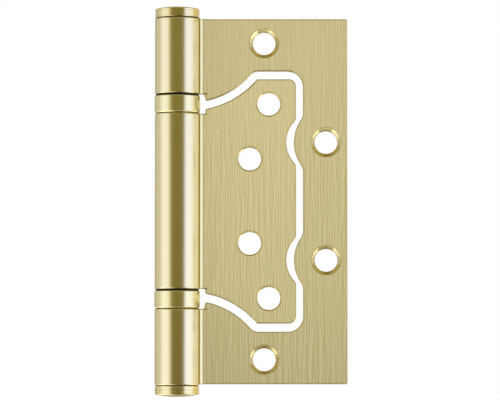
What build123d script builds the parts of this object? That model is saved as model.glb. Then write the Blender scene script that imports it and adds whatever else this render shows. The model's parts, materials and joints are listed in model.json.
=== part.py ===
from build123d import *
import os
from math import acos, asin, atan2, degrees, floor, hypot, pi, radians, tan

# Non-mortise butterfly hinge, 100 mm tall, closed: the inner leaf lies in the outer leaf's window.
# Shapes are drawn about the pin axis (x = 0, y = 0) and mid height (z = 0), with the leaves
# towards +X and the outer leaf's countersinks towards -Y. All sizes are in millimetres.

# Sheet: height along the pin, and the outer leaf's reach from the pin axis to its free edge
leaf_height = 100.0
leaf_thickness = 2.5
outer_leaf_reach = 46.55
corner_radius = 0.5
edge_round = 0.25

# Rolled knuckles
pin_diameter = 7.2
pin_clearance = 0.05
outer_knuckle_length = 20.6
knuckle_proud = 0.2
bend_start_x = 8.12
bend_inner_radius = 3.0
root_groove_x = 6.02
root_groove_width = 0.3
root_groove_depth = 0.4
seam_gap = 0.1
seam_edge_round = 0.15
knuckle_end_round = 0.3

# Window in the outer leaf: the bands of sheet left beyond it, then the shape of its upper half,
# which the lower half mirrors
end_band = 14.3
side_band = 12.1
window_corner_radius = 4.2
sweep_radius = 21.9
sweep_end_x = 20.8
sweep_end_round = 3.0
tooth_start_x = 7.35
tooth_x = 7.75
tooth_drop = 1.85
tooth_round = 0.6

# Inner leaf, which follows the window with a slot all round
slot_width = 2.25
side_slot_width = 1.95
inner_sweep_end_x = 21.8
step_x = 7.7
step_height = 1.3
step_round = 0.5

# Bulge of the window beside each side screw, and the notch that clears it
bulge_depth = 2.5
bulge_half_height = 7.0
bulge_blend = 3.0
notch_depth = 2.65
notch_half_height = 6.15
notch_blend = 1.6

# Screw holes, in pairs about mid height: x from the pin axis, z from mid height, and the others
# from the edge of the leaf that they are in
screw_hole_diameter = 6.25
countersink_diameter = 8.0
countersink_angle = 90.0
hole_edge_break = 0.25
main_hole_x = 23.8
main_hole_from_end = 6.67
side_hole_from_edge = 5.82
side_hole_z = 16.15
door_outer_hole_from_edge = 7.43
door_outer_hole_from_end = 6.85
door_inner_hole_from_edge = 12.65
door_inner_hole_z = 11.55

# Thrust ball bearings between the knuckles
ball_diameter = 2.0
ball_spacing = 0.06
ball_clearance = 0.1
ball_side_clearance = 0.12
groove_depth = 0.35
bottom_race_thickness = 1.4
flange_thickness = 1.2
flange_clearance = 0.15
lip_play = 0.2
lip_thickness = 0.55
lip_overlap = 0.35
lip_clearance = 0.25
race_proud = 0.55
collar_inset = 0.3
collar_clearance = 0.1
shell_wall = 0.4
shell_joint = 0.2
shell_top_round = 0.2
shell_bottom_chamfer = 0.25

# Caps pressed into the barrel's ends
cap_step = 0.1
cap_neck_height = 0.2
cap_neck_inset = 0.3
cap_foot_round = 0.12
cap_side_height = 2.6
cap_dome_height = 0.65
cap_edge_round = 0.25
spigot_length = 4.0
spigot_chamfer = 0.3
pin_chamfer = 0.5

# Barrel section
pin_radius = pin_diameter / 2
bore_radius = pin_radius + pin_clearance
barrel_radius = bore_radius + leaf_thickness
bend_radius = bend_inner_radius + leaf_thickness / 2
bend_distance = hypot(bend_start_x, bend_radius)
bend_angle = degrees(
    asin((bore_radius + leaf_thickness / 2 + bend_radius) / bend_distance)
    - atan2(bend_radius, bend_start_x))
root_groove_y = (bend_inner_radius ** 2 - (bend_start_x - root_groove_x) ** 2) ** 0.5 - bend_radius
lip_distance = bend_inner_radius + leaf_thickness + seam_gap
seam_angle = degrees(
    acos((barrel_radius ** 2 + bend_distance ** 2 - lip_distance ** 2)
         / (2 * barrel_radius * bend_distance))
    - atan2(bend_radius, bend_start_x))

# Bearing section, with heights above the knuckle that carries the bearing
ball_radius = ball_diameter / 2
ball_track_radius = pin_radius + ball_side_clearance + ball_radius
ball_pitch_angle = 2 * asin((ball_radius + ball_spacing / 2) / ball_track_radius)
ball_count = floor(2 * pi / ball_pitch_angle)
groove_radius = ball_radius + ball_clearance
ball_to_race = groove_radius - groove_depth
ball_height = bottom_race_thickness + ball_to_race
top_race_height = ball_height + ball_to_race
lip_height = top_race_height + flange_thickness + lip_play
shell_height = lip_height + lip_thickness
bearing_height = shell_height + race_proud
shell_bore_radius = ball_track_radius + ball_radius + ball_side_clearance
shell_radius = shell_bore_radius + shell_wall
flange_radius = shell_bore_radius - flange_clearance
lip_radius = flange_radius - lip_overlap
boss_radius = lip_radius - lip_clearance
collar_radius = shell_radius - collar_inset

# Places along the pin, above mid height
leaf_end = leaf_height / 2
outer_knuckle_start = leaf_end - outer_knuckle_length
middle_knuckle_end = outer_knuckle_start - bearing_height
barrel_end = leaf_end + knuckle_proud
pin_length = 2 * (barrel_end - spigot_length)

# Window, inner leaf and the hole places that follow their edges
window_end = leaf_end - end_band
window_reach = outer_leaf_reach - side_band
inner_end = window_end - slot_width
inner_reach = window_reach - side_slot_width
main_holes = (main_hole_x, leaf_end - main_hole_from_end)
side_holes = (outer_leaf_reach - side_hole_from_edge, side_hole_z)
door_outer_holes = (inner_reach - door_outer_hole_from_edge, inner_end - door_outer_hole_from_end)
door_inner_holes = (inner_reach - door_inner_hole_from_edge, door_inner_hole_z)


def knuckle(bottom, top):
    """Sheet bent forward off the leaf, then rolled round the pin to an open seam at its back."""
    bend = (bend_start_x, -bend_radius)
    front = CenterArc(bend, bend_inner_radius, 90 + bend_angle, -bend_angle)
    back = CenterArc(bend, bend_inner_radius + leaf_thickness, 90 + bend_angle, -bend_angle)
    roll = 270 + bend_angle - seam_angle
    bore = CenterArc((0, 0), bore_radius, bend_angle - 90, -roll)
    barrel = CenterArc((0, 0), barrel_radius, bend_angle - 90, -roll)
    seam = Line(bore @ 1, barrel @ 1)
    section = make_face([
        back,
        Line(back @ 0, bore @ 0),
        bore,
        seam,
        barrel,
        Line(barrel @ 0, front @ 0),
        front,
        Line(front @ 1, back @ 1),
    ])
    lip = section.vertices().sort_by_distance(barrel @ 1)[0]
    section = fillet(lip, seam_edge_round)
    rolled = Pos(0, 0, bottom) * extrude(section, amount=top - bottom)
    ends = [edge for edge in rolled.edges().filter_by(GeomType.CIRCLE)
            if abs(edge.radius - barrel_radius) < 1e-6]
    groove = Pos(root_groove_x, root_groove_y, 0) * Box(
        root_groove_width, 2 * root_groove_depth, 2 * (top - bottom))
    return fillet(ends, knuckle_end_round) - Pos(0, 0, (top + bottom) / 2) * groove


def plate(upper_half, rounds):
    """Flat sheet from the upper half of an outline, mirrored; rounds pairs corners with radii."""
    whole = upper_half + [edge.mirror(Plane.XZ) for edge in upper_half]
    face = make_face(whole)
    for (x, z), radius in rounds:
        for side in (1, -1):
            corner = face.vertices().sort_by_distance((x, side * z, 0))[0]
            face = fillet(corner, radius)
    sheet = extrude(Plane.XZ * face, amount=leaf_thickness / 2, both=True)
    sides = sheet.faces().sort_by(Axis.Y)
    outline = [edge for side in (sides[0], sides[-1]) for edge in side.edges()
               if edge.center().X > bend_start_x + edge_round]
    return fillet(outline, edge_round)


def screw_hole(x, z, towards_front):
    """Cutter for one countersunk hole through a leaf, with its other edge broken."""
    hole_radius = screw_hole_diameter / 2
    slope = tan(radians(countersink_angle / 2))
    depth = (countersink_diameter / 2 - hole_radius) / slope
    length = leaf_thickness + depth
    bore = Cylinder(hole_radius, 2 * length)
    sink = Pos(0, 0, leaf_thickness / 2) * Cone(
        hole_radius, hole_radius + 2 * depth * slope, 2 * depth)
    edge_break = Pos(0, 0, -leaf_thickness / 2) * Cone(
        hole_radius + 2 * hole_edge_break, hole_radius, 2 * hole_edge_break)
    turn = 90 if towards_front else -90
    return Pos(x, 0, z) * Rot(turn, 0, 0) * (bore + sink + edge_break)


def drill(leaf, places, towards_front):
    """Cuts the pair of holes that each place gives, above and below mid height."""
    for x, z in places:
        for side in (1, -1):
            leaf -= screw_hole(x, side * z, towards_front)
    return leaf


def end_trim():
    """Cutter that leaves only the rolled part of a knuckle standing proud of the leaf's end."""
    return Pos(barrel_radius, -outer_leaf_reach / 2, leaf_end) * Box(
        outer_leaf_reach, outer_leaf_reach, outer_leaf_reach, align=Align.MIN)


def make_outer_leaf():
    """Leaf fixed to the frame: a sheet round its window, with the top and bottom knuckles."""
    tooth_start = (tooth_start_x, outer_knuckle_start)
    tooth = (tooth_x, outer_knuckle_start - tooth_drop)
    sweep_end = (sweep_end_x, window_end)
    window_corner = (window_reach, window_end)
    bulge_top = (window_reach, side_hole_z + bulge_half_height)
    bulge_peak = (window_reach - bulge_depth, side_hole_z)
    bulge_foot = (window_reach, side_hole_z - bulge_half_height)
    upper_half = [
        Line((outer_leaf_reach, 0), (outer_leaf_reach, leaf_end)),
        Line((outer_leaf_reach, leaf_end), (bend_start_x, leaf_end)),
        Line((bend_start_x, leaf_end), (bend_start_x, outer_knuckle_start)),
        Line((bend_start_x, outer_knuckle_start), tooth_start),
        Line(tooth_start, tooth),
        RadiusArc(tooth, sweep_end, -sweep_radius),
        Line(sweep_end, window_corner),
        Line(window_corner, bulge_top),
        ThreePointArc(bulge_top, bulge_peak, bulge_foot),
        Line(bulge_foot, (window_reach, 0)),
    ]
    rounds = [
        ((outer_leaf_reach, leaf_end), corner_radius),
        (tooth, tooth_round),
        (sweep_end, sweep_end_round),
        (window_corner, window_corner_radius),
        (bulge_top, bulge_blend),
        (bulge_foot, bulge_blend),
    ]
    upper_knuckle = knuckle(outer_knuckle_start, barrel_end) - end_trim()
    leaf = plate(upper_half, rounds) + upper_knuckle + upper_knuckle.mirror(Plane.XY)
    return drill(leaf, [main_holes, side_holes], towards_front=True)


def make_inner_leaf():
    """Leaf fixed to the door: it fills the window and carries the middle knuckle."""
    step_foot = (step_x, middle_knuckle_end)
    step = (step_x, middle_knuckle_end + step_height)
    sweep_end = (inner_sweep_end_x, inner_end)
    corner = (inner_reach, inner_end)
    notch_top = (inner_reach, side_hole_z + notch_half_height)
    notch_peak = (inner_reach - notch_depth, side_hole_z)
    notch_foot = (inner_reach, side_hole_z - notch_half_height)
    upper_half = [
        Line((bend_start_x, 0), (bend_start_x, middle_knuckle_end)),
        Line((bend_start_x, middle_knuckle_end), step_foot),
        Line(step_foot, step),
        RadiusArc(step, sweep_end, -sweep_radius - slot_width),
        Line(sweep_end, corner),
        Line(corner, notch_top),
        ThreePointArc(notch_top, notch_peak, notch_foot),
        Line(notch_foot, (inner_reach, 0)),
    ]
    rounds = [
        (step, step_round),
        (corner, window_corner_radius - slot_width),
        (notch_top, notch_blend),
        (notch_foot, notch_blend),
    ]
    leaf = plate(upper_half, rounds)
    leaf += knuckle(-middle_knuckle_end, middle_knuckle_end)
    return drill(leaf, [door_outer_holes, door_inner_holes], towards_front=False)


def turned(*points):
    """Ring turned about the pin axis from a closed profile of radius and height."""
    profile = make_face(Polyline(*points, close=True))
    return revolve(Plane.XZ * profile, Axis.Z)


def make_hinge_pin():
    """Plain ground pin that reaches from spigot to spigot."""
    pin = Cylinder(pin_radius, pin_length)
    return chamfer(pin.edges().filter_by(GeomType.CIRCLE), pin_chamfer)


def make_cap():
    """Turned cap that stands on a barrel end: crowned head and a spigot pressed in the bore."""
    radius = barrel_radius - cap_step
    rim = cap_side_height
    crown = TangentArc((0, rim + cap_dome_height), (radius, rim), tangent=(1, 0))
    head = make_face([
        crown,
        Polyline(
            (0, rim + cap_dome_height),
            (0, 0),
            (radius - cap_neck_inset, 0),
            (radius - cap_neck_inset, cap_neck_height),
            (radius, cap_neck_height),
            (radius, rim),
        ),
    ])
    head = fillet(head.vertices().sort_by_distance((radius, rim, 0))[0], cap_edge_round)
    head = fillet(head.vertices().sort_by_distance((radius, cap_neck_height, 0))[0], cap_foot_round)
    spigot = Pos(0, 0, -spigot_length) * Cylinder(
        bore_radius, spigot_length, align=(Align.CENTER, Align.CENTER, Align.MIN))
    spigot = chamfer(spigot.edges().sort_by(Axis.Z)[0], spigot_chamfer)
    return revolve(Plane.XZ * head, Axis.Z) + spigot


def ball_groove():
    """Ring that cuts the ball track into a race."""
    return Pos(0, 0, ball_height) * Torus(ball_track_radius, groove_radius)


def make_bottom_race():
    """Washer that lies on a knuckle, held in the shell, with the lower ball track."""
    race = turned(
        (bore_radius, 0),
        (shell_bore_radius, 0),
        (shell_bore_radius, bottom_race_thickness),
        (bore_radius, bottom_race_thickness),
    )
    return race - ball_groove()


def make_top_race():
    """Flanged washer with the upper ball track; its collar stands out of the shell."""
    shoulder = top_race_height + flange_thickness
    race = turned(
        (bore_radius, top_race_height),
        (flange_radius, top_race_height),
        (flange_radius, shoulder),
        (boss_radius, shoulder),
        (boss_radius, shell_height + collar_clearance),
        (collar_radius, shell_height + collar_clearance),
        (collar_radius, bearing_height),
        (bore_radius, bearing_height),
    )
    return race - ball_groove()


def make_bearing_shell():
    """Polished ring round the bearing; its inward lip keeps the top race in."""
    shell = turned(
        (shell_bore_radius, shell_joint),
        (shell_radius - shell_bottom_chamfer, shell_joint),
        (shell_radius, shell_joint + shell_bottom_chamfer),
        (shell_radius, shell_height),
        (lip_radius, shell_height),
        (lip_radius, lip_height),
        (shell_bore_radius, lip_height),
    )
    rim = shell.edges().filter_by(GeomType.CIRCLE).group_by(Axis.Z)[-1].sort_by(
        lambda edge: edge.radius)[-1]
    return fillet(rim, shell_top_round)


def make_bearing(place, seat):
    """Every piece of one bearing, by name, with its bottom race on the knuckle at seat."""
    lift = Pos(0, 0, seat)
    pieces = {
        f"{place}_bearing_shell": lift * make_bearing_shell(),
        f"{place}_bottom_race": lift * make_bottom_race(),
        f"{place}_top_race": lift * make_top_race(),
    }
    for number in range(ball_count):
        turn = Rot(0, 0, number * 360 / ball_count)
        ball = turn * Pos(ball_track_radius, 0, ball_height) * Sphere(ball_radius)
        pieces[f"{place}_ball_{number + 1:02d}"] = lift * ball
    return pieces


cap = make_cap()
nodes = {
    "outer_leaf": make_outer_leaf(),
    "inner_leaf": make_inner_leaf(),
    "hinge_pin": make_hinge_pin(),
    "top_cap": Pos(0, 0, barrel_end) * cap,
    "bottom_cap": Pos(0, 0, -barrel_end) * Rot(180, 0, 0) * cap,
}
nodes.update(make_bearing("upper", middle_knuckle_end))
nodes.update(make_bearing("lower", -outer_knuckle_start))

# The part's origin is on the outer leaf's back face, midway between its side screw holes.
to_origin = Pos(-side_holes[0], -leaf_thickness / 2, 0)
os.makedirs("parts", exist_ok=True)
for name, shape in nodes.items():
    export_step(to_origin * shape, f"parts/{name}.step")
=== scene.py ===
import json
import math

import bpy
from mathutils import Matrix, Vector

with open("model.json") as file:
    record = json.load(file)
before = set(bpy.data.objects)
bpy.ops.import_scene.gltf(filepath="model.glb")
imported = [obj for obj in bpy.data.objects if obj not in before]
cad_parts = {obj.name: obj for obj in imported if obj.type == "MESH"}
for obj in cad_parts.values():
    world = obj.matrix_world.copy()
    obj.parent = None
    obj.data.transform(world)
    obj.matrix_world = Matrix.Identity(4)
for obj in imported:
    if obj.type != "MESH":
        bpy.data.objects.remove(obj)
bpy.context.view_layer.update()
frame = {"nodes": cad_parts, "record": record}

# Places in the row frame, in metres
PIN_X = -0.04073
PIN_Y = -0.00125
MM = 1000.0

# Photograph: how many metres of the plate its width shows, and where its middle falls
VIEW_WIDTH = 0.13675
VIEW_X = -0.02082
VIEW_Z = 0.00031
PLATE_FRONT_Y = -0.0025
CAMERA_DISTANCE = 0.8
CAMERA_Z = -0.042


class Tree:
    """Short ways to add nodes to a node tree. A value is a number, a tuple or another socket."""

    def __init__(self, owner):
        owner.use_nodes = True
        self.tree = owner.node_tree
        self.tree.nodes.clear()

    def feed(self, socket, value):
        if isinstance(value, bpy.types.NodeSocket):
            self.tree.links.new(value, socket)
        elif value is not None:
            socket.default_value = value

    def add(self, kind, *values, **settings):
        node = self.tree.nodes.new(kind)
        for name, value in settings.items():
            setattr(node, name, value)
        for index, value in enumerate(values):
            self.feed(node.inputs[index], value)
        return node

    def math(self, operation, *values):
        return self.add("ShaderNodeMath", *values, operation=operation).outputs[0]

    def vector(self, operation, *values):
        node = self.add("ShaderNodeVectorMath", *values, operation=operation)
        return node.outputs["Value" if operation in ("LENGTH", "DOT_PRODUCT") else "Vector"]

    def ramp(self, value, low, high, to_low=0.0, to_high=1.0, kind="SMOOTHSTEP"):
        node = self.add("ShaderNodeMapRange", value, low, high, to_low, to_high,
                        interpolation_type=kind)
        return node.outputs["Result"]

    def mix(self, factor, first, second):
        node = self.add("ShaderNodeMix", data_type="RGBA")
        self.feed(node.inputs["Factor"], factor)
        self.feed(node.inputs[6], first)
        self.feed(node.inputs[7], second)
        return node.outputs[2]

    def noise(self, place, stretch, detail, roughness):
        """Noise of size 1 over a place that is stretched by a factor on each axis."""
        node = self.add("ShaderNodeTexNoise")
        self.feed(node.inputs["Vector"], self.vector("MULTIPLY", place, stretch))
        self.feed(node.inputs["Scale"], 1.0)
        self.feed(node.inputs["Detail"], detail)
        self.feed(node.inputs["Roughness"], roughness)
        return node.outputs["Fac"]

    def split(self, vector):
        return self.add("ShaderNodeSeparateXYZ", vector).outputs

    def join(self, x, y, z):
        return self.add("ShaderNodeCombineXYZ", x, y, z).outputs[0]

    def scaled(self, vector, factor):
        """A vector or a colour times a number."""
        node = self.add("ShaderNodeVectorMath", vector, operation="SCALE")
        self.feed(node.inputs["Scale"], factor)
        return node.outputs["Vector"]

    def opposite(self, share):
        """What is left of 1 when the share is taken away."""
        return self.math("SUBTRACT", 1.0, share)

    def show(self, kind, shader):
        """Adds the output node and joins the shader to its surface."""
        output = self.add(kind)
        self.tree.links.new(shader.outputs[0], output.inputs["Surface"])


def metal(tree, colour, roughness, **sockets):
    """Principled metal joined to the material's output."""
    shader = tree.add("ShaderNodeBsdfPrincipled")
    tree.feed(shader.inputs["Base Color"], colour)
    tree.feed(shader.inputs["Roughness"], roughness)
    shader.inputs["Metallic"].default_value = 1.0
    for name, value in sockets.items():
        tree.feed(shader.inputs[name.replace("_", " ")], value)
    tree.show("ShaderNodeOutputMaterial", shader)


def object_places(tree):
    """Object position in mm about the pin axis, its height z and the distance from the axis."""
    position = tree.add("ShaderNodeTexCoord").outputs["Object"]
    about_pin = tree.vector("ADD", position, (-PIN_X, -PIN_Y, 0.0))
    place = tree.scaled(about_pin, MM)
    x, y, z = tree.split(place)
    radius = tree.vector("LENGTH", tree.join(x, y, 0.0))
    return place, z, radius


def fine_bump(tree, height, strength, normal=None):
    """Bump from a height of 0 to 1, on the face's own normal or on the one that is given."""
    bump = tree.add("ShaderNodeBump")
    bump.inputs["Strength"].default_value = strength
    bump.inputs["Distance"].default_value = BUMP_DEPTH
    tree.feed(bump.inputs["Height"], height)
    tree.feed(bump.inputs["Normal"], normal)
    return bump.outputs[0]


# Colours of the plated sheet
BRASS_BRUSHED = ((0.71, 0.61, 0.29, 1.0), (0.94, 0.84, 0.50, 1.0))
BRASS_ROLLED = (0.90, 0.78, 0.45, 1.0)
# Painted shade: deeper, darker gold in the crease at the root of the bend
BRASS_ROOT_SHADE = (0.92, 0.72, 0.24, 1.0)
BRASS_BEND = (0.93, 0.80, 0.40, 1.0)
# Painted shade: cut walls and the band along every broken edge are a darker olive gold
BRASS_EDGE_SHADE = (0.60, 0.49, 0.17, 1.0)
BRASS_RIM_SHADE = (0.46, 0.34, 0.03, 1.0)
BRASS_SINK = (0.96, 0.85, 0.46, 1.0)
# Painted shade: near black, in the top cap's joint
JOINT_SHADE = (0.06, 0.045, 0.015, 1.0)

# Where each finish begins and is full. Distances from the pin axis and heights are in mm. Facing
# is 0 to 1: how squarely a face looks along Y, as the plate's flats do. The rim is told by the
# cosine between the rounded normal and the true one, and the glance by Layer Weight's Facing
FLAT_FACING = (0.90, 0.985)
SINK_STEEPEST = (0.55, 0.65)
SINK_FLATTEST = (0.84, 0.77)
RIM_COSINES = (0.998, 0.95)
GLANCE_FACING = (0.15, 0.45)
ROLLED_RADII = (7.35, 6.95)
KNUCKLE_RADII = (6.16, 6.20)
BEND_RADII = (6.25, 6.90)
# Painted shade on the top knuckle just under the cap's joint: heights and distances from the axis
JOINT_SHADE_HEIGHTS = (50.00, 50.16)
JOINT_SHADE_RADII = (6.4, 6.25)
# Painted shade in the caps' necks: distances from the axis and heights
NECK_RADII = (5.98, 5.90)
NECK_HEIGHTS = (50.42, 50.38)

# Brush lines: noise over mm, stretched along the pin. Each finer noise has the same noise from a
# little beside it taken away, which leaves no broad patches, and then a weight
BRUSH_LONG = (1.3, 1.3, 0.02)
BRUSH_FINE = (((2.6, 2.6, 0.035), 0.45), ((3.4, 3.4, 0.18), 0.50))
BRUSH_BESIDE = (0.30, 0.0, 0.0)
BRUSH_LONG_SHARE = 0.24
BRUSH_LEVEL = 0.38
BRUSH_ON_ROLLED = 0.35
BRUSH_BY_HEIGHT = (12.0, 34.0, 1.08, 0.62)

# Turned rings: noise over the distance from the axis and the height
RINGS_COARSE = (3.0, 1.0, 3.0)
RINGS_FINE = (9.0, 1.0, 9.0)

# Both kinds of lines: the range of noise that goes from dark to light, and the bump in metres
LINE_RANGE = (0.36, 0.64, -1.0, 1.0)
BUMP_DEPTH = 0.00002

# Width in metres of the band in which a broken edge catches the light as if rounded, and which is
# painted dark as shade
EDGE_BAND = 0.0005

# How far the lines move the brushed colour from its darker to its lighter one, and the place
# between the two that they move it from
BRUSHED_CONTRAST = 0.34
BRUSHED_MIDDLE = 0.51

# Share of the flats that scatters light, as satin does, and the roughness of each finish
SATIN_SHARE = 0.45
ROUGH_SATIN = 0.64
ROUGH_GLANCING = 0.16
ROUGH_EDGE = 0.20
ROUGH_ROLLED = 0.17


def brush_lines(tree, place, seed):
    """Height of the brush lines, 0 to 1, at a place in mm. The seed gives each leaf its own."""
    along = tree.vector("ADD", place, (seed, seed * 1.7, seed * 0.6))
    beside = tree.vector("ADD", along, BRUSH_BESIDE)
    lines = tree.noise(along, BRUSH_LONG, 1.0, 0.5)
    lines = tree.math("MULTIPLY_ADD", lines, BRUSH_LONG_SHARE, BRUSH_LEVEL)
    for stretch, weight in BRUSH_FINE:
        here = tree.noise(along, stretch, 0.0, 0.5)
        there = tree.noise(beside, stretch, 0.0, 0.5)
        lines = tree.math("MULTIPLY_ADD", tree.math("SUBTRACT", here, there), weight, lines)
    return lines


def leaf_material(name, seed, tone_and_shade):
    """Satin brass plate: brushed along the pin on the flats, smoother where it is rolled."""
    material = bpy.data.materials.new(name)
    tree = Tree(material)
    place, z, radius = object_places(tree)

    # Shares of flat face, countersink and rolled sheet
    normal = tree.split(tree.add("ShaderNodeTexCoord").outputs["Normal"])
    facing = tree.math("ABSOLUTE", normal[1])
    flat = tree.ramp(facing, *FLAT_FACING)
    sink = tree.math("MULTIPLY", tree.ramp(facing, *SINK_STEEPEST), tree.ramp(facing, *SINK_FLATTEST))
    rolled = tree.ramp(radius, *ROLLED_RADII)

    # How light the brushing is, -1 to 1: weaker on rolled sheet and towards the top
    lines = brush_lines(tree, place, seed)
    depth = tree.math("MULTIPLY", flat, tree.ramp(rolled, 0.0, 1.0, 1.0, BRUSH_ON_ROLLED))
    light = tree.math("MULTIPLY", tree.ramp(lines, *LINE_RANGE, "LINEAR"), depth)
    light = tree.math("MULTIPLY", light, tree.ramp(z, *BRUSH_BY_HEIGHT))

    # Broken edges: the normal is rounded, except on countersinks and rolled sheet
    rounded = tree.add("ShaderNodeBevel", EDGE_BAND, samples=6).outputs["Normal"]
    true_normal = tree.add("ShaderNodeNewGeometry").outputs["Normal"]
    rim = tree.ramp(tree.vector("DOT_PRODUCT", rounded, true_normal), *RIM_COSINES)
    rim = tree.math("MULTIPLY", rim, tree.opposite(sink))
    true = tree.math("MAXIMUM", rolled, sink)
    shape = tree.vector("ADD", tree.scaled(rounded, tree.opposite(true)),
                        tree.scaled(true_normal, true))
    flat = tree.math("MULTIPLY", flat, tree.opposite(rim))
    satin = tree.math("MULTIPLY", flat, tree.opposite(rolled))

    # Colour: brushed face, rolled sheet, edges and countersinks, with painted shade at the bend's
    # root, on cut edges and in the top cap's joint
    brushed = tree.math("MULTIPLY_ADD", light, BRUSHED_CONTRAST, BRUSHED_MIDDLE)
    # Painted shade: each leaf's brushed colour is scaled by its own tone, the outer leaf darker
    brushed = tree.scaled(tree.mix(brushed, *BRASS_BRUSHED), tone_and_shade)
    # Painted shade: deeper gold in the crease where the bend leaves the barrel
    bend = tree.mix(tree.ramp(radius, *BEND_RADII), BRASS_ROOT_SHADE, BRASS_BEND)
    bend = tree.mix(tree.ramp(radius, *KNUCKLE_RADII), BRASS_ROLLED, bend)
    face = tree.mix(rolled, brushed, bend)
    # Painted shade: cut walls darker than the flats
    cut = tree.mix(sink, BRASS_EDGE_SHADE, BRASS_SINK)
    colour = tree.mix(tree.math("MAXIMUM", flat, rolled), cut, face)
    # Painted shade: a dark olive band along every broken edge
    colour = tree.mix(rim, colour, BRASS_RIM_SHADE)
    # Painted shade: the top knuckle darkened just under the cap's joint
    joint_shade = tree.math("MULTIPLY", tree.ramp(z, *JOINT_SHADE_HEIGHTS), tree.ramp(radius, *JOINT_SHADE_RADII))
    colour = tree.mix(joint_shade, colour, JOINT_SHADE)

    # Gloss: satin flats turn to polished metal at a glancing view
    glance = tree.add("ShaderNodeLayerWeight", 0.5).outputs["Facing"]
    glance = tree.ramp(glance, *GLANCE_FACING)
    satin_gloss = tree.ramp(glance, 0.0, 1.0, ROUGH_SATIN, ROUGH_GLANCING, "LINEAR")
    sheet = tree.ramp(flat, 0.0, 1.0, ROUGH_EDGE, satin_gloss, "LINEAR")
    smooth = tree.ramp(rolled, 0.0, 1.0, sheet, ROUGH_ROLLED, "LINEAR")
    roughness = tree.math("MULTIPLY_ADD", light, 0.03, smooth)
    dull = tree.math("MULTIPLY", tree.math("MULTIPLY", satin, SATIN_SHARE), tree.opposite(glance))
    metal(tree, colour, roughness, Metallic=tree.opposite(dull),
          Anisotropic=0.9, Anisotropic_Rotation=0.25, Tangent=tree.join(0.0, 0.0, 1.0),
          Normal=fine_bump(tree, lines, 0.12, shape), Coat_Weight=0.6, Coat_Roughness=0.25)
    return material


def turned_material(name, colour, roughness, groove, anisotropy, coat=0.6, neck_shade=0.0):
    """Turned metal: fine rings about the pin axis, and painted shade in a cap's neck."""
    material = bpy.data.materials.new(name)
    tree = Tree(material)
    _, z, radius = object_places(tree)
    rings = tree.join(radius, 0.0, z)
    coarse = tree.noise(rings, RINGS_COARSE, 2.0, 0.6)
    fine = tree.noise(rings, RINGS_FINE, 2.0, 0.6)
    lines = tree.math("MULTIPLY", tree.math("ADD", coarse, fine), 0.5)
    light = tree.ramp(lines, *LINE_RANGE, "LINEAR")
    tone_and_shade = tree.math("MULTIPLY_ADD", light, groove, 1.0)
    # Painted shade: the cap's neck darkened nearly to black
    if neck_shade:
        height = tree.math("ABSOLUTE", z)
        neck = tree.math("MULTIPLY", tree.ramp(radius, *NECK_RADII), tree.ramp(height, *NECK_HEIGHTS))
        tone_and_shade = tree.math("MULTIPLY", tone_and_shade, tree.opposite(tree.math("MULTIPLY", neck, neck_shade)))
    metal(tree, tree.scaled(colour, tone_and_shade), roughness, Anisotropic=anisotropy,
          Tangent=tree.join(0.0, 0.0, 1.0),
          Normal=fine_bump(tree, lines, min(1.0, groove * 3.0)),
          Coat_Weight=coat, Coat_Roughness=0.2)
    return material


def polished_material(name, colour, roughness):
    """Metal polished all over, with no lines."""
    material = bpy.data.materials.new(name)
    metal(Tree(material), (*colour, 1.0), roughness, Coat_Weight=0.6, Coat_Roughness=0.2)
    return material


materials = {
    # The last number is painted shade: the outer leaf a little darker than the inner one
    "outer_leaf": leaf_material("outer_leaf_brass", 3.1, 0.89),
    "inner_leaf": leaf_material("inner_leaf_brass", 47.3, 0.95),
    "cap_metal": turned_material("turned_brass", (0.86, 0.73, 0.38), 0.22, 0.16, 0.4, neck_shade=0.93),
    "bearing_shell": turned_material("polished_brass", (0.92, 0.82, 0.44), 0.25, 0.02, 0.2),
    "pin_steel": turned_material("pin_steel", (0.62, 0.62, 0.62), 0.25, 0.06, 0.5),
    # Races: nearly black, as painted shade for the dark gap seen at each bearing
    "race_steel": turned_material("race_steel", (0.035, 0.026, 0.018), 0.35, 0.06, 0.5, coat=0.0),
    "ball_steel": polished_material("ball_steel", (0.78, 0.78, 0.80), 0.10),
}
slot_of = {part["node"]: part["material_slot"] for part in frame["record"]["subparts"]}
for node_name, node in frame["nodes"].items():
    node.data.materials.clear()
    node.data.materials.append(materials[slot_of[node_name]])


# Panels of the studio, as polished metal sees them: where each begins and is full, in degrees from
# the camera's side, and its light. LEFT_LEAN is how far those on the left lean, from level to
# straight up
WORLD_PANELS = [
    (-26.0, -39.0, (0.80, 0.73, 0.36)),
    (-31.0, -46.0, (1.06, 1.12, 1.34)),
    (-74.0, -100.0, (0.66, 0.66, 0.60)),
    (32.0, 46.0, (1.06, 1.20, 1.75)),
    (62.0, 78.0, (1.09, 1.15, 1.40)),
    (79.0, 104.0, (0.78, 0.67, 0.38)),
    (120.0, 170.0, (0.70, 0.66, 0.55)),
    (-120.0, -160.0, (0.42, 0.35, 0.22)),
]
LEFT_LEAN = 50.0

# The upper room and the ceiling: the heights, -1 to 1, at which each begins and is full, and its
# light
WORLD_TOPS = [
    (0.26, 0.50, (0.50, 0.47, 0.28, 1.0)),
    (0.80, 0.98, (0.45, 0.40, 0.30, 1.0)),
]

# Light of the dim room, its two changes with height, and that of the panels
ROOM = (0.20, 0.168, 0.048)
ROOM_FOOT = (-0.55, -0.20, 0.12, 1.0)
ROOM_MIDDLE = (-0.15, 0.15, 0.75, 1.25)
PANELS_BY_HEIGHT = (-0.20, 0.60, 1.12, 0.72)
WHITE = (1.0, 1.0, 1.0, 1.0)


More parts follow.
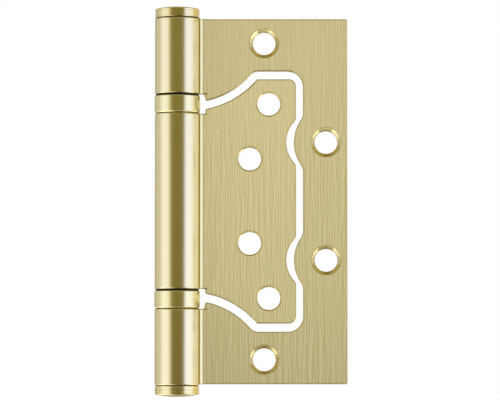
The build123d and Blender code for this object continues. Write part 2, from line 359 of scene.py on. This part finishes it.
def studio_world():
    """Studio: white to the camera. In reflections the room on the camera's side is dim and warm,
    a tall soft light stands at each side, and pale walls are behind the hinge."""
    world = bpy.data.worlds.new("studio")
    bpy.context.scene.world = world
    tree = Tree(world)
    x, y, z = tree.split(tree.add("ShaderNodeTexCoord").outputs["Generated"])
    turn = tree.math("ARCTAN2", x, tree.math("MULTIPLY", y, -1.0))
    turn = tree.math("MULTIPLY", turn, 180.0 / math.pi)
    leaning = tree.math("MULTIPLY_ADD", z, LEFT_LEAN, turn)
    height = tree.math("MULTIPLY", tree.ramp(z, *ROOM_FOOT), tree.ramp(z, *ROOM_MIDDLE))
    light = tree.scaled(ROOM, height)
    dimming = tree.ramp(z, *PANELS_BY_HEIGHT, "LINEAR")
    for start, full, colour in WORLD_PANELS:
        edge = leaning if start < 0.0 else turn
        light = tree.mix(tree.ramp(edge, start, full), light, tree.scaled(colour, dimming))
    for start, full, colour in WORLD_TOPS:
        light = tree.mix(tree.ramp(z, start, full), light, colour)
    shine = tree.add("ShaderNodeBackground", light, 1.0)
    white = tree.add("ShaderNodeBackground", WHITE, 1.0)
    seen = tree.add("ShaderNodeLightPath").outputs["Is Camera Ray"]
    choice = tree.add("ShaderNodeMixShader", seen, shine.outputs[0], white.outputs[0])
    tree.show("ShaderNodeOutputWorld", choice)


# Floor, in metres from its own middle, which is at FLOOR_PLACE in the row frame
FLOOR_PLACE = (PIN_X + 0.02, 0.0, -0.20)
FLOOR_RADIUS = 0.9
FLOOR_PAPER = (0.86, 0.86, 0.86, 1.0)
FLOOR_SHADE = (0.05, 0.045, 0.03, 1.0)

# Distance from the middle: where it starts to turn white to the camera and where it is white, and
# the share of white there
FLOOR_WHITE = (0.15, 0.80, 0.65, 1.0)

# Shade on the camera's side: how far it reaches each way from SHADE_X, and from which Y on
SHADE_X = 0.035
SHADE_HALF_WIDTHS = (0.09, 0.14)
SHADE_Y = (-0.02, -0.10)

# The bright sides: distances from the middle along Y, and what polished metal sees there on top of
# white
FLOOR_BAND = (0.24, 0.10, -0.25, 1.0)


def pale_floor():
    """Pale floor well below the hinge, white towards its rim. Polished metal sees it bright at both
    sides, most of all straight beside the hinge, and in shade on the camera's side between them."""
    bpy.ops.mesh.primitive_circle_add(vertices=96, radius=FLOOR_RADIUS, fill_type="NGON",
                                      location=FLOOR_PLACE)
    floor = bpy.context.object
    floor.name = "floor"
    material = bpy.data.materials.new("floor")
    tree = Tree(material)
    position = tree.add("ShaderNodeTexCoord").outputs["Object"]
    x, y, _ = tree.split(position)
    rays = tree.add("ShaderNodeLightPath").outputs
    seen = tree.ramp(tree.vector("LENGTH", position), *FLOOR_WHITE)
    seen = tree.math("MULTIPLY", seen, rays["Is Camera Ray"])
    side = tree.ramp(tree.math("ABSOLUTE", tree.math("SUBTRACT", x, SHADE_X)), *SHADE_HALF_WIDTHS)
    glossy = tree.math("MULTIPLY", side, rays["Is Glossy Ray"])
    shade = tree.math("MULTIPLY", tree.opposite(side), tree.ramp(y, *SHADE_Y))
    shade = tree.math("MULTIPLY", shade, tree.opposite(rays["Is Camera Ray"]))
    paper = tree.add("ShaderNodeBsdfDiffuse", tree.mix(shade, FLOOR_PAPER, FLOOR_SHADE))
    band = tree.ramp(tree.math("ABSOLUTE", y), *FLOOR_BAND)
    white = tree.add("ShaderNodeEmission", WHITE,
                     tree.math("MULTIPLY_ADD", rays["Is Glossy Ray"], band, 1.0))
    choice = tree.add("ShaderNodeMixShader", tree.math("MAXIMUM", seen, glossy),
                      paper.outputs[0], white.outputs[0])
    tree.show("ShaderNodeOutputMaterial", choice)
    floor.data.materials.append(material)


# Fill lamps, in front of the plate and behind it
FILL_X = -0.01
FILL_Y = 0.16
FILL_Z = 0.035
FILL_SIZE = 0.18
FILL_POWER = 0.25
FILL_COLOUR = (1.0, 0.97, 0.90)


def aim(item, target):
    item.rotation_euler = (target - item.location).to_track_quat("-Z", "Y").to_euler()


def fill_light(name, y):
    """Large soft lamp that lights the satin sheet and is not mirrored in the polished metal."""
    data = bpy.data.lights.new(name, "AREA")
    data.size = FILL_SIZE
    data.energy = FILL_POWER
    data.color = FILL_COLOUR
    lamp = bpy.data.objects.new(name, data)
    bpy.context.scene.collection.objects.link(lamp)
    lamp.location = Vector((FILL_X, y, FILL_Z))
    aim(lamp, Vector((0.0, 0.0, FILL_Z)))
    lamp.visible_camera = False
    lamp.visible_glossy = False


def photo_camera():
    """Camera at the photograph's angle: level with the lower third, turned a little upwards."""
    data = bpy.data.cameras.new("camera")
    camera = bpy.data.objects.new("camera", data)
    bpy.context.scene.collection.objects.link(camera)
    camera.location = Vector((VIEW_X, PLATE_FRONT_Y - CAMERA_DISTANCE, CAMERA_Z))
    aim(camera, Vector((VIEW_X, PLATE_FRONT_Y, VIEW_Z)))
    data.sensor_fit = "HORIZONTAL"
    data.sensor_width = 36.0
    reach = math.hypot(CAMERA_DISTANCE, VIEW_Z - CAMERA_Z)
    data.lens = data.sensor_width * reach / VIEW_WIDTH
    data.clip_start = 0.01
    data.clip_end = 20.0
    bpy.context.scene.camera = camera


studio_world()
pale_floor()
fill_light("front_fill", -FILL_Y)
fill_light("back_fill", FILL_Y)
photo_camera()
bpy.context.scene.view_settings.view_transform = "Standard"
